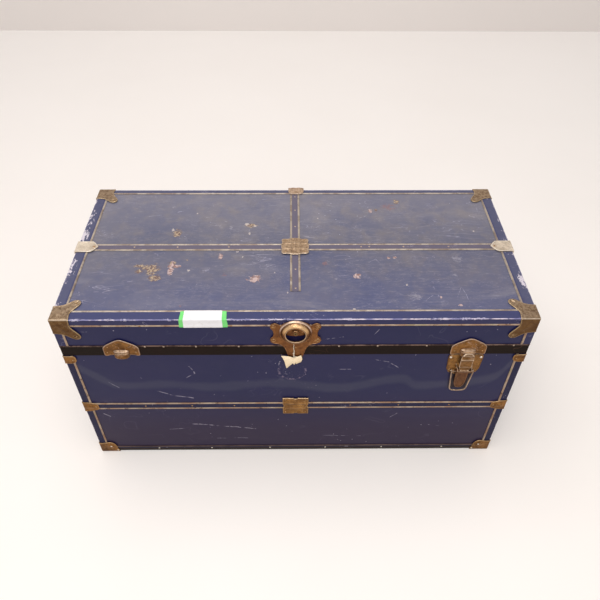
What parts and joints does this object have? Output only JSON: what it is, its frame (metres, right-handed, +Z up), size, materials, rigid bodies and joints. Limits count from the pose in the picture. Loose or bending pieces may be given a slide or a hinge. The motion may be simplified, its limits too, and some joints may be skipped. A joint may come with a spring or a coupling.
{
  "type": "steamer trunk",
  "caption": "Flat-topped steamer trunk with a rear-hinged lid, fibre edge bindings, stamped brass corners, draw bolt, lock plate, end handles, lid stay and a lift-out tray.",
  "frame": {"origin": "centre of the trunk's underside, on the floor plane", "axes": "+X along the trunk, to the right seen from the front; -Y is the front with the lock; +Z up"},
  "size_m": [0.938, 0.4446, 0.4517],
  "materials": {
    "navy_panel": "glossy navy enamel on fibre-covered plywood, dusty and scratched",
    "binding_fibre": "navy vulcanised fibre with rolled gold edges",
    "closing_band": "black-brown fibre, worn",
    "brass": "aged stamped brass",
    "pale_metal": "dulled plated steel",
    "steel": "dull steel",
    "slat_wood": "raw softwood",
    "tray_board": "paper-lined board",
    "handle_leather": "worn brown leather"
  },
  "bodies": {
    "root": {"body_front_panel": "navy_panel", "body_back_panel": "navy_panel", "body_left_panel": "navy_panel", "body_right_panel": "navy_panel", "body_bottom_panel": "navy_panel", "bottom_slat": "slat_wood", "bottom_edge_binding": "binding_fibre", "edge_binding_front_left": "binding_fibre", "edge_binding_front_right": "binding_fibre", "edge_binding_rear_left": "binding_fibre", "edge_binding_rear_right": "binding_fibre", "belt_strip_front": "binding_fibre", "belt_strip_back": "binding_fibre", "belt_strip_left": "binding_fibre", "belt_strip_right": "binding_fibre", "belt_plate": "brass", "belt_clip_front_left": "brass", "belt_clip_front_right": "brass", "belt_clip_rear_left": "brass", "belt_clip_rear_right": "brass", "bottom_corner_front_left": "brass", "bottom_corner_front_right": "brass", "bottom_corner_rear_left": "brass", "bottom_corner_rear_right": "brass", "rim_cap_front_left": "brass", "rim_cap_front_right": "brass", "draw_bolt_base": "brass", "handle_plate_left": "brass", "handle_plate_right": "brass", "hinge_body_leaf_left": "steel", "hinge_body_leaf_right": "steel", "tray_ledge": "slat_wood"},
    "lid": {"lid_top_panel": "navy_panel", "lid_rim": "navy_panel", "lid_edge_binding": "binding_fibre", "lid_closing_band": "closing_band", "lid_long_strip": "binding_fibre", "lid_cross_strip": "binding_fibre", "lid_cross_plate": "brass", "lid_end_clamp_left": "pale_metal", "lid_end_clamp_right": "pale_metal", "lid_rear_clip": "brass", "lid_corner_front_left": "brass", "lid_corner_front_right": "brass", "lid_corner_rear_left": "brass", "lid_corner_rear_right": "brass", "draw_bolt_catch_left": "brass", "draw_bolt_catch_right": "brass", "lock_plate": "brass", "hinge_lid_leaf_left": "steel", "hinge_lid_leaf_right": "steel"},
    "draw_bolt_lever": {"draw_bolt_lever": "brass"},
    "draw_bolt_hook": {"draw_bolt_hook": "brass"},
    "draw_bolt_bail": {"draw_bolt_bail": "steel"},
    "handle_left": {"handle_left": "handle_leather"},
    "handle_right": {"handle_right": "handle_leather"},
    "stay_lower": {"stay_lower_link": "steel"},
    "stay_upper": {"stay_upper_link": "steel"},
    "lift_out_tray": {"lift_out_tray": "tray_board"},
    "lock_cylinder": {"lock_cylinder": "brass"}
  },
  "joints": [
    {"name": "lid_hinge", "type": "hinge", "parent": "root", "child": "lid", "pos_m": [0, 0.2152, 0.3475], "axis": [-1, 0, 0], "range_deg": [0, 100]},
    {"name": "stay_lower_pivot", "type": "hinge", "parent": "root", "child": "stay_lower", "pos_m": [0.4439, 0.1202, 0.2925], "axis": [-1, 0, 0], "range_deg": [0, 100]},
    {"name": "stay_upper_pivot", "type": "hinge", "parent": "lid", "child": "stay_upper", "pos_m": [0.4417, 0.1122, 0.3855], "axis": [-1, 0, 0], "range_deg": [-100, 0]},
    {"name": "draw_bolt_lever_pivot", "type": "hinge", "parent": "root", "child": "draw_bolt_lever", "pos_m": [0.338, -0.215, 0.312], "axis": [-1, 0, 0], "range_deg": [0, 110]},
    {"name": "draw_bolt_hook_pivot", "type": "hinge", "parent": "draw_bolt_lever", "child": "draw_bolt_hook", "pos_m": [0.338, -0.22279, 0.3075], "axis": [-1, 0, 0], "range_deg": [-143, 0]},
    {"name": "draw_bolt_bail_swing", "type": "hinge", "parent": "draw_bolt_lever", "child": "draw_bolt_bail", "pos_m": [0.338, -0.2145, 0.299], "axis": [-1, 0, 0], "range_deg": [0, 60]},
    {"name": "handle_left_swing", "type": "hinge", "parent": "root", "child": "handle_left", "pos_m": [-0.4615, 0, 0.268], "axis": [0, 1, 0], "range_deg": [0, 90]},
    {"name": "handle_right_swing", "type": "hinge", "parent": "root", "child": "handle_right", "pos_m": [0.4615, 0, 0.268], "axis": [0, -1, 0], "range_deg": [0, 90]},
    {"name": "tray_lift", "type": "slide", "parent": "root", "child": "lift_out_tray", "axis": [0, 0, 1], "range_m": [0, 0.058]},
    {"name": "lock_cylinder_turn", "type": "hinge", "parent": "lid", "child": "lock_cylinder", "pos_m": [0, -0.215, 0.4155], "axis": [0, -1, 0], "range_deg": [0, 90]}
  ],
  "couplings": [
    {"joint": "stay_lower_pivot", "follows": "lid_hinge", "ratio": 1},
    {"joint": "stay_upper_pivot", "follows": "lid_hinge", "ratio": -1},
    {"joint": "draw_bolt_hook_pivot", "follows": "draw_bolt_lever_pivot", "ratio": -1.3}
  ]
}
